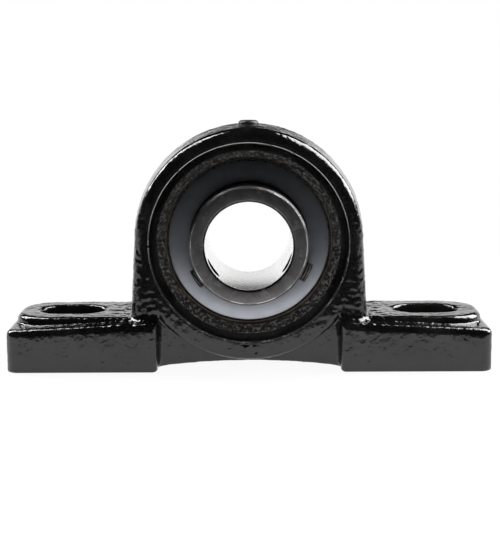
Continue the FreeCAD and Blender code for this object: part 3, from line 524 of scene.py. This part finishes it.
def roughenSkin(mesh):
    look = castingLook
    shifts = []
    for vertex in mesh.vertices:
        point = vertex.co
        cast, coarse = skinShares(point)
        swell = noise.noise(point / look["swellSize"])
        lump = noise.fractal(point / look["lumpSize"], *look["lumpNoise"])
        lumpDepth = look["lumpDepth"] * (1 - coarse) + look["roughLump"] * coarse
        rise = look["swellDepth"] * swell + lumpDepth * lump
        outermost = max(abs(point.x) - look["flatEnd"], abs(point.y) - look["flatSide"])
        drop = look["swellDepth"] * look["swellDrop"] + lumpDepth
        rise -= between(outermost, 0, look["flatFade"]) * drop
        shifts.append(vertex.normal * (cast * rise))
    low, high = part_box("housing")
    for vertex, shift in zip(mesh.vertices, shifts):
        moved = vertex.co + shift
        vertex.co = [min(max(moved[axis], low[axis]), high[axis]) for axis in range(3)]


# The turned seat, in millimetres: a step with a rounded lip, a rough cast ledge, the spherical seat
seatShape = {"lipOuter": 29.1, "lipRadius": 0.6, "face": 15.0, "step": 13.3, "cove": 26.5, "coveDepth": 12.0,
             "edge": 24.108, "edgeDepth": 10.0, "grooveEdge": 25.514, "groove": 26.9, "grooveHalf": 5.5,
             "reach": 17.0, "margin": 0.3, "seat": 26.1, "loadingHalf": 8.7, "loadingSteps": 24,
             "port": 2.5, "portLength": 20, "portSteps": 48, "steps": 600, "arcSteps": 6, "fillSteps": 128,
             "grainCuts": 12, "grainSize": 0.75, "grainDepth": 0.3, "grainNoise": (1.0, 2.0, 3),
             "grainInner": (24.2, 24.7), "grainOuter": (26.9, 26.4), "grainBack": (9.9, 10.4),
             "stepMargin": 0.1, "slack": 0.01}


def isOnLedge(place):
    radius, depth, slack = place.x * 1000, abs(place.y) * 1000, seatShape["slack"]
    deep = depth > seatShape["edgeDepth"] - slack
    return deep and seatShape["edge"] - slack < radius < seatShape["cove"] + slack


def roughenLedge(bm):
    shape = seatShape
    for vertex in bm.verts:
        reach = math.hypot(vertex.co.x, vertex.co.z - shaftHeight) * 1000
        depth = abs(vertex.co.y) * 1000
        share = between(reach, *shape["grainInner"]) * between(reach, *shape["grainOuter"])
        share *= between(depth, *shape["grainBack"])
        if share and depth < shape["step"] - shape["stepMargin"]:
            grain = noise.fractal(vertex.co / (shape["grainSize"] / 1000), *shape["grainNoise"])
            vertex.co.y += math.copysign(shape["grainDepth"] / 1000 * grain * share, vertex.co.y)


def seatCutter():
    shape = seatShape
    lipInner, lipTop = shape["lipOuter"] - shape["lipRadius"], shape["face"] - shape["lipRadius"]
    outside = shape["lipOuter"] + shape["margin"]
    side = [(0, shape["reach"]), (outside, shape["reach"]), (outside, shape["face"]),
            (shape["lipOuter"], shape["face"]), (lipInner, lipTop), (lipInner, shape["step"]),
            (shape["cove"], shape["coveDepth"]), (shape["edge"], shape["edgeDepth"]),
            (shape["grooveEdge"], shape["grooveHalf"]), (shape["groove"], shape["grooveHalf"])]
    front = [(radius, -along) for radius, along in side]
    bm = bmesh.new()
    verts = closeLoop(bm, front + side[::-1])
    last = len(verts) - 1
    lipAt, seatAt = 3, 7    # the corners of one side where the lip's and the seat's arcs begin
    for first, second, sign in ((lipAt, lipAt + 1, -1), (last - lipAt - 1, last - lipAt, 1)):
        hollowEdge(bm, verts[first], verts[second], (shape["lipOuter"], sign * lipTop),
                   shape["arcSteps"])
    for first, second in ((seatAt, seatAt + 1), (last - seatAt - 1, last - seatAt)):
        hollowEdge(bm, verts[first], verts[second], (0, 0), shape["arcSteps"])
    ledges = [edge for edge in bm.edges if all(isOnLedge(vert.co) for vert in edge.verts)]
    bmesh.ops.subdivide_edges(bm, edges=ledges, cuts=shape["grainCuts"])
    spinLoop(bm, shape["steps"])
    bmesh.ops.remove_doubles(bm, verts=bm.verts, dist=mergeDistance)
    roughenLedge(bm)
    return pieceFrom("seatCutter", bm)


def loadingCutter():
    # The two slots, open to the rear, through which the insert goes in sideways
    seat, steps = seatShape["seat"], seatShape["loadingSteps"]
    half = math.asin(seatShape["loadingHalf"] / seat)
    bm = bmesh.new()
    verts = []
    for middle in (0, math.pi):
        for step in range(steps + 1):
            angle = middle - half + 2 * half * step / steps
            across, rise = seat * math.cos(angle) / 1000, seat * math.sin(angle) / 1000
            verts.append(bm.verts.new((across, 0, shaftHeight + rise)))
    grown = bmesh.ops.extrude_face_region(bm, geom=[bm.faces.new(verts)])
    moved = [item for item in grown["geom"] if isinstance(item, bmesh.types.BMVert)]
    bmesh.ops.translate(bm, verts=moved, vec=(0, seatShape["reach"] / 1000, 0))
    bmesh.ops.recalc_face_normals(bm, faces=bm.faces)
    return pieceFrom("loadingCutter", bm)


def portCutter():
    # The port's bore, and a flat bed for the plug's head
    seat, clear, steps = plugShape["seat"] / 1000, plugShape["bedHeight"] / 1000, seatShape["portSteps"]
    bm = bmesh.new()
    addCylinder(bm, seatShape["port"] / 1000, seatShape["portLength"] / 1000, steps,
                Matrix.Translation((0, 0, seat)))
    addCylinder(bm, plugShape["bed"] / 1000, clear, steps, Matrix.Translation((0, 0, seat + clear / 2)))
    return pieceFrom("portCutter", bm)


def makeCasting():
    casting = linkPiece("casting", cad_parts["housing"].data.copy())
    bm = bmesh.new()
    bm.from_mesh(casting.data)
    bmesh.ops.remove_doubles(bm, verts=bm.verts, dist=mergeDistance)
    # The seat is filled first, so that its turned faces can be cut sharp out of the cast skin
    lying = Matrix.Translation(axisPoint) @ Matrix.Rotation(math.pi / 2, 4, "X")
    addCylinder(bm, seatShape["lipOuter"] / 1000, seatShape["face"] * 2 / 1000, seatShape["fillSteps"],
                lying)
    bm.to_mesh(casting.data)
    bm.free()
    skin = casting.modifiers.new("skin", "REMESH")
    skin.mode = "VOXEL"
    skin.voxel_size = castingLook["voxel"]
    applyModifiers(casting)
    roughenSkin(casting.data)
    thin = casting.modifiers.new("thin", "DECIMATE")
    thin.ratio = castingLook["keptFaces"]
    applyModifiers(casting)
    for cutter in (seatCutter(), loadingCutter(), portCutter()):
        cutAway(casting, cutter, "MANIFOLD")
    casting.data.materials.clear()
    casting.data.materials.append(paint)
    smoothShade(casting, 180)    # no edge of a casting is sharp
    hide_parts("housing")
    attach(casting, "block")
    triangles = sum(len(polygon.vertices) - 2 for polygon in casting.data.polygons)
    print("casting:", triangles, "triangles")


makeCasting()

# Inner ring, longer at the front, with two threaded holes for the set screws

ringShape = {"bore": 12.5, "outer": 17, "front": 19.8, "rear": 14.3, "chamfer": 0.6, "raceHalf": 3.408,
             "raceCentre": 19.329, "edgeRound": 0.12, "steps": 192}
screwLook = {"angles": {"left": 213.5, "right": 333.5}, "proud": {"left": 0.0014, "right": 0.002},
             "along": -0.0148, "length": 0.0055, "radius": 0.003, "root": 0.0026, "pitch": 0.00075,
             "socketWidth": 0.003, "socketDepth": 0.0025, "cupRadius": 0.0017, "cupTip": 0.0001,
             "cupDepth": 0.0014, "cupSteps": 32, "steps": 40, "spareTurns": 4, "turnsBelow": 2.5,
             "sharpAngle": 25,
             "holeRadius": 0.00308, "holeLength": 0.012, "holeMiddle": 0.0148, "holeSteps": 64}


def radialMatrix(angle, distance):
    # Turns a piece that stands on Z to point away from the shaft axis
    turn = math.radians(angle)
    away = Vector((math.cos(turn), 0, math.sin(turn)))
    place = axisPoint + away * distance + Vector((0, screwLook["along"], 0))
    return Matrix.Translation(place) @ Matrix.Rotation(math.pi / 2 - turn, 4, "Y")


def ringEnd(length):
    # The four corners of one end face, from the bore outwards
    shape = ringShape
    return [(shape["bore"], length - shape["chamfer"]), (shape["bore"] + shape["chamfer"], length),
            (shape["outer"] - shape["chamfer"], length), (shape["outer"], length - shape["chamfer"])]


def makeInnerRing():
    shape = ringShape
    bm = bmesh.new()
    front = [(radius, -along) for radius, along in ringEnd(shape["front"])]
    race = [(shape["outer"], -shape["raceHalf"]), (shape["outer"], shape["raceHalf"])]
    verts = closeLoop(bm, front + race + ringEnd(shape["rear"])[::-1])
    # Corners 4 and 5 end the raceway
    hollowEdge(bm, verts[4], verts[5], (shape["raceCentre"], 0))
    for vert in verts[:4] + verts[6:]:
        roundCorner(bm, vert, shape["edgeRound"])
    spinLoop(bm, shape["steps"])
    ring = pieceFrom("innerRing", bm)
    for angle in screwLook["angles"].values():
        cutter = bmesh.new()
        place = radialMatrix(angle, screwLook["holeMiddle"])
        addCylinder(cutter, screwLook["holeRadius"], screwLook["holeLength"], screwLook["holeSteps"], place)
        cutAway(ring, pieceFrom("screwHole", cutter))
    ring.data.materials.append(ringSteel)
    smoothShade(ring)
    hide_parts("inner_ring")
    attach(ring, "shaft_ring")


makeInnerRing()
print("inner ring made")

# Outer ring, with the spherical outside that lets it swing in the seat

outerShape = {"shoulder": 21.6, "sealGroove": 24, "grooveFrom": 5.85, "grooveTo": 6.45, "faceBore": 23.6,
              "half": 8.5, "chamfer": 0.35, "edge": 24.571, "edgeRound": 0.08, "raceHalf": 3.338,
              "raceCentre": 19.171, "steps": 192, "sphereSteps": 24, "lubeRadius": 0.75, "lubePlace": 4.4,
              "lubeLength": 60, "lubeSteps": 32}


def makeOuterRing():
    shape = outerShape
    bm = bmesh.new()
    rear = [(shape["shoulder"], shape["grooveFrom"]), (shape["sealGroove"], shape["grooveFrom"]),
            (shape["sealGroove"], shape["grooveTo"]), (shape["faceBore"], shape["grooveTo"]),
            (shape["faceBore"], shape["half"] - shape["chamfer"]),
            (shape["faceBore"] + shape["chamfer"], shape["half"]), (shape["edge"], shape["half"])]
    front = [(radius, -along) for radius, along in rear]
    race = [(shape["shoulder"], shape["raceHalf"]), (shape["shoulder"], -shape["raceHalf"])]
    verts = closeLoop(bm, front + rear[::-1] + race)
    # Corners 6 and 7 end the spherical outside, 14 and 15 the raceway
    hollowEdge(bm, verts[6], verts[7], (0, 0), shape["sphereSteps"])
    hollowEdge(bm, verts[14], verts[15], (shape["raceCentre"], 0))
    # These stand at the two end faces
    for index in (4, 5, 8, 9):
        roundCorner(bm, verts[index], shape["edgeRound"])
    spinLoop(bm, shape["steps"])
    ring = pieceFrom("outerRing", bm)
    cutter = bmesh.new()
    upright = Matrix.Translation(axisPoint + Vector((0, shape["lubePlace"] / 1000, 0)))
    addCylinder(cutter, shape["lubeRadius"] / 1000, shape["lubeLength"] / 1000, shape["lubeSteps"], upright)
    cutAway(ring, pieceFrom("lubeHoles", cutter))
    ring.data.materials.append(outerSteel)
    smoothShade(ring)
    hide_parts("outer_ring")
    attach(ring, "insert")


makeOuterRing()
print("outer ring made")

# Flingers: pressed sheet discs, front and rear

flingerShape = {"bore": 17.02, "collar": 17.62, "edge": 23.25, "inner": 7.6, "outer": 8.2, "collarEnd": 6.6,
                "bend": 0.5, "bendSteps": 6, "edgeRound": 0.15, "steps": 192}


def makeFlinger(side, sign):
    shape = flingerShape
    bm = bmesh.new()
    corners = [(shape["bore"], shape["collarEnd"]), (shape["bore"], shape["outer"]),
               (shape["edge"], shape["outer"]), (shape["edge"], shape["inner"]),
               (shape["collar"], shape["inner"]), (shape["collar"], shape["collarEnd"])]
    verts = closeLoop(bm, [(radius, sign * along) for radius, along in corners])
    # Corner 1 is the bend from collar to disc, 2 and 3 are the rim's
    roundCorner(bm, verts[1], shape["bend"], shape["bendSteps"])
    for index in (2, 3):
        roundCorner(bm, verts[index], shape["edgeRound"])
    spinLoop(bm, shape["steps"])
    flinger = pieceFrom(side + "Flinger", bm)
    flinger.data.materials.append(flingerSteel)
    smoothShade(flinger)
    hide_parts(side + "_flinger")
    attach(flinger, "shaft_ring")


makeFlinger("front", -1)
makeFlinger("rear", 1)
print("flingers made")

# Set screws with a cut thread, a hexagon socket and a cup point

screwFinish = {"black": (0.035, 0.034, 0.034, 1), "deepBlack": (0.012, 0.012, 0.013, 1),
               "cloud": (700, 4.0, 0.6), "cloudRange": (0.35, 0.7), "roughness": (0.28, 0.45),
               "bare": (0.5, 0.48, 0.46, 1), "scuffs": {"Size": 1600.0, "Cover": 0.58},
               "metallic": (0.55, 1.0), "bump": (0.00003, 0.4), "crestShare": 0.8,
               # the crest's mask, by distances from the thread's outside
               "crestDepth": 0.00015, "crestSoft": 0.00007, "clearance": 0.0003, "clearanceSoft": 0.0001}


def crestMask(tree, point):
    # The thread's crests, by the distance from each screw's axis
    masks = []
    look, radius = screwFinish, screwLook["radius"]
    for angle in screwLook["angles"].values():
        turn = math.radians(angle)
        centre = axisPoint + Vector((0, screwLook["along"], 0))
        apart = vectorMaths(tree, "SUBTRACT", point, centre)["Vector"]
        away = (math.cos(turn), 0, math.sin(turn))
        across = vectorMaths(tree, "CROSS_PRODUCT", apart, away)["Vector"]
        reach = vectorMaths(tree, "LENGTH", across)["Value"]
        crest = above(tree, reach, radius - look["crestDepth"], look["crestSoft"])
        near = below(tree, reach, radius + look["clearance"], look["clearanceSoft"])
        masks.append(multiply(tree, crest, near))
    return maths(tree, "MAXIMUM", *masks)


def makeScrewSteel():
    # Black oxide, rubbed to metal on the thread crests
    look = screwFinish
    material, tree, shader, point = newFinish("screwSteel")
    cloud = noiseValue(tree, point, *look["cloud"])
    black = blendColours(tree, ramp(tree, cloud, *look["cloudRange"]), look["deepBlack"], look["black"])
    rubbed = useGroup(tree, scuffs, Point=point, **look["scuffs"])["Mask"]
    rubbed = maths(tree, "MAXIMUM", rubbed, multiply(tree, crestMask(tree, point), look["crestShare"]))
    feed(tree, shader["Base Color"], blendColours(tree, rubbed, black, look["bare"]))
    feed(tree, shader["Metallic"], ramp(tree, rubbed, 0.0, 1.0, *look["metallic"]))
    feed(tree, shader["Roughness"], ramp(tree, cloud, *middleRange, *look["roughness"]))
    addBump(tree, shader, cloud, *look["bump"])
    return material


screwSteel = makeScrewSteel()


def makeThread(bm):
    # A zigzag of roots and crests, spun to a helix and cut to the screw's length
    look = screwLook
    turns = int(look["length"] / look["pitch"]) + look["spareTurns"]
    verts = []
    for index in range(turns * 2 + 1):
        radius = look["radius"] if index % 2 else look["root"]
        verts.append(bm.verts.new((radius, 0, (index / 2 - look["turnsBelow"]) * look["pitch"])))
    joinChain(bm, verts)
    bmesh.ops.spin(bm, geom=bm.verts[:] + bm.edges[:], cent=(0, 0, 0), axis=(0, 0, 1), angle=math.tau,
                   steps=look["steps"], dvec=(0, 0, look["pitch"] / look["steps"]))
    bmesh.ops.remove_doubles(bm, verts=bm.verts, dist=mergeDistance * 2)
    for height, facing in ((0, -1), (look["length"], 1)):
        geom = bm.verts[:] + bm.edges[:] + bm.faces[:]
        cut = bmesh.ops.bisect_plane(bm, geom=geom, plane_co=(0, 0, height), plane_no=(0, 0, facing),
                                     clear_outer=True)
        rim = [item for item in cut["geom_cut"] if isinstance(item, bmesh.types.BMEdge)]
        bmesh.ops.holes_fill(bm, edges=rim)
    bmesh.ops.recalc_face_normals(bm, faces=bm.faces)


def makeSetScrew(side, angle):
    look = screwLook
    bm = bmesh.new()
    makeThread(bm)
    screw = pieceFrom("setScrew" + side.capitalize(), bm)
    cutter = bmesh.new()
    across = look["socketWidth"] / 2 / math.cos(math.pi / 6)
    addCylinder(cutter, across, look["socketDepth"] * 2, 6, Matrix.Translation((0, 0, look["length"])))
    bmesh.ops.create_cone(cutter, cap_ends=True, segments=look["cupSteps"],
                          radius1=look["cupRadius"], radius2=look["cupTip"], depth=look["cupDepth"])
    cutAway(screw, pieceFrom("socket", cutter))
    tip = ringShape["outer"] / 1000 + look["proud"][side] - look["length"]
    screw.data.transform(radialMatrix(angle, tip))
    screw.data.materials.append(screwSteel)
    smoothShade(screw, look["sharpAngle"])
    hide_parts("set_screw_" + side)
    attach(screw, side + "_screw")


for side, angle in screwLook["angles"].items():
    makeSetScrew(side, angle)
print("set screws made")

# Grease plug in the port at the top

def makePlug():
    shape = plugShape
    bm = bmesh.new()
    corners = [(0, -shape["shankLength"]), (shape["shank"], -shape["shankLength"]), (shape["shank"], 0),
               (shape["head"], 0), (shape["head"], shape["headEdge"]),
               (shape["headTop"], shape["headHeight"]), (0, shape["headHeight"])]
    seat = shape["seat"] / 1000
    verts = [bm.verts.new((radius / 1000, 0, seat + height / 1000)) for radius, height in corners]
    joinChain(bm, verts)
    # Corners 4 and 5 begin and end the slope of the head
    for index in (4, 5):
        roundCorner(bm, verts[index], shape["headRound"])
    bmesh.ops.spin(bm, geom=bm.verts[:] + bm.edges[:], cent=(0, 0, 0), axis=(0, 0, 1), angle=math.tau,
                   steps=shape["steps"], use_merge=True)
    bmesh.ops.remove_doubles(bm, verts=bm.verts, dist=mergeDistance)
    bmesh.ops.recalc_face_normals(bm, faces=bm.faces)
    plug = pieceFrom("greasePlug", bm)
    cutter = bmesh.new()
    top = Matrix.Translation((0, 0, seat + shape["headHeight"] / 1000))
    addCylinder(cutter, shape["socket"] / 1000, shape["socketDepth"] * 2 / 1000, 6, top)
    cutAway(plug, pieceFrom("plugSocket", cutter))
    plug.data.materials.append(plastic)
    smoothShade(plug)
    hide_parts("grease_plug")
    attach(plug, "plug")


makePlug()
print("plug made")

# The pieces inside keep their solids and get their finishes

insideFinishes = {"front_seal_plate": cageSteel, "rear_seal_plate": cageSteel, "cage_front": cageSteel,
                  "cage_rear": cageSteel, "cage_rivets": cageSteel, "front_seal_lip": rubber,
                  "rear_seal_lip": rubber}
insideFinishes.update({node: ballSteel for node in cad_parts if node.startswith("ball_")})
for node, finish in insideFinishes.items():
    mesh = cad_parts[node].data
    mesh.materials.clear()
    mesh.materials.append(finish)
print("inside pieces finished")

# Studio: white floor and surround, a dark card before the object, soft boxes above its sides

studio = {"floorHalf": 1.5, "floorWhite": 0.9, "floorRoughness": 0.9,
          "floorGlow": 0.93, "glowFade": (0.09, 0.3),
          "cardEdge": -0.085, "cardHalf": 0.6, "cardHeight": 0.0005, "cardBlack": 0.004,
          "backEdge": 0.15, "backPlace": 0.5, "backHalf": 1.5, "gloom": 0.007, "aim": (0, 0, 0.04)}
lamps = {"leftBox": {"place": (-0.32, 0.19, 0.38), "size": (0.13, 0.5), "power": 2.6, "glossy": True},
         "rightBox": {"place": (0.36, 0.13, 0.35), "size": (0.32, 0.5), "power": 5.6, "glossy": True},
         "frontFill": {"place": (0, -0.6, 0.35), "size": (0.4, 0.3), "power": 2.2, "glossy": False}}


def grey(level):
    return (level, level, level, 1)


def plainFinish(name, level, roughness=0.5):
    material = bpy.data.materials.new(name)
    material.use_nodes = True
    shader = material.node_tree.nodes["Principled BSDF"]
    shader.inputs["Base Color"].default_value = grey(level)
    shader.inputs["Roughness"].default_value = roughness
    return material, shader


def makeSheet(name, half, place=Matrix()):
    bm = bmesh.new()
    bmesh.ops.create_grid(bm, x_segments=1, y_segments=1, size=half, matrix=place)
    return pieceFrom(name, bm)


def makeFloor():
    # Lit like a table, and glowing white where it is looked at, less so under the object
    floor = makeSheet("floor", studio["floorHalf"])
    material, shader = plainFinish("whiteFloor", studio["floorWhite"], studio["floorRoughness"])
    tree = material.node_tree
    glow = addNode(tree, "ShaderNodeEmission")
    path = addNode(tree, "ShaderNodeLightPath").outputs
    seen = maths(tree, "MAXIMUM", path["Is Camera Ray"], path["Is Glossy Ray"])
    seen = maths(tree, "MAXIMUM", seen, path["Is Transmission Ray"])
    point = addNode(tree, "ShaderNodeTexCoord").outputs["Object"]
    distance = vectorMaths(tree, "LENGTH", point)["Value"]
    fade = ramp(tree, distance, *studio["glowFade"], studio["floorGlow"], 1.0)
    both = addNode(tree, "ShaderNodeMixShader")
    feed(tree, both.inputs[0], multiply(tree, seen, fade))
    feed(tree, both.inputs[1], shader.outputs[0])
    feed(tree, both.inputs[2], glow.outputs[0])
    feed(tree, tree.nodes["Material Output"].inputs["Surface"], both.outputs[0])
    floor.data.materials.append(material)


def makeCard():
    # Stands in for the dark room before the table; the camera itself doesn't see it
    half = studio["cardHalf"]
    place = Matrix.Translation((0, studio["cardEdge"] - half, studio["cardHeight"]))
    card = makeSheet("darkCard", half, place)
    card.data.materials.append(plainFinish("cardBlack", studio["cardBlack"], 1.0)[0])
    card.visible_camera = False
    card.visible_diffuse = False
    card.visible_shadow = False


def makeBackdrop():
    # A low white card behind the table, seen only in reflections
    middle = studio["backEdge"] / 2
    place = Matrix.Translation((0, studio["backPlace"], middle)) @ Matrix.Rotation(math.pi / 2, 4, "X")
    backdrop = makeSheet("backdrop", 1, place @ Matrix.Diagonal((studio["backHalf"], middle, 1, 1)))
    material, shader = plainFinish("backdropWhite", 0)
    shader.inputs["Emission Color"].default_value = grey(1)
    shader.inputs["Emission Strength"].default_value = 1.0
    backdrop.data.materials.append(material)
    backdrop.visible_camera = False
    backdrop.visible_shadow = False


def makeLamp(name, look):
    lamp = bpy.data.lights.new(name, "AREA")
    lamp.shape = "RECTANGLE"
    lamp.size, lamp.size_y = look["size"]
    lamp.energy = look["power"]
    holder = bpy.data.objects.new(name, lamp)
    holder.location = look["place"]
    aim = Vector(studio["aim"]) - Vector(look["place"])
    holder.rotation_euler = aim.to_track_quat("-Z", "Y").to_euler()
    holder.visible_glossy = look["glossy"]
    bpy.context.scene.collection.objects.link(holder)


def makeWorld():
    # White to the camera and dim in reflections
    world = bpy.data.worlds.new("surround")
    bpy.context.scene.world = world
    world.use_nodes = True
    tree = world.node_tree
    seen = addNode(tree, "ShaderNodeLightPath").outputs["Is Camera Ray"]
    background = tree.nodes["Background"]
    feed(tree, background.inputs["Strength"], maths(tree, "MAXIMUM", seen, studio["gloom"]))
    background.inputs["Color"].default_value = grey(1)


makeFloor()
makeCard()
makeBackdrop()
makeWorld()
for name, look in lamps.items():
    makeLamp(name, look)
print("studio made")

# Camera at the photograph's place

cameraLook = {"place": (0.0003, -0.3833, 0.08785), "pitch": 9.247, "roll": -0.219, "lens": 85.7,
              "nearest": 0.01}


def makeCamera():
    camera = bpy.data.cameras.new("camera")
    camera.lens = cameraLook["lens"]
    camera.clip_start = cameraLook["nearest"]
    holder = bpy.data.objects.new("camera", camera)
    level = Matrix.Rotation(math.radians(90 - cameraLook["pitch"]), 4, "X")
    roll = Matrix.Rotation(math.radians(cameraLook["roll"]), 4, "Z")
    holder.matrix_world = Matrix.Translation(cameraLook["place"]) @ level @ roll
    bpy.context.scene.collection.objects.link(holder)
    bpy.context.scene.camera = holder


makeCamera()
bpy.context.scene.view_settings.view_transform = "Standard"
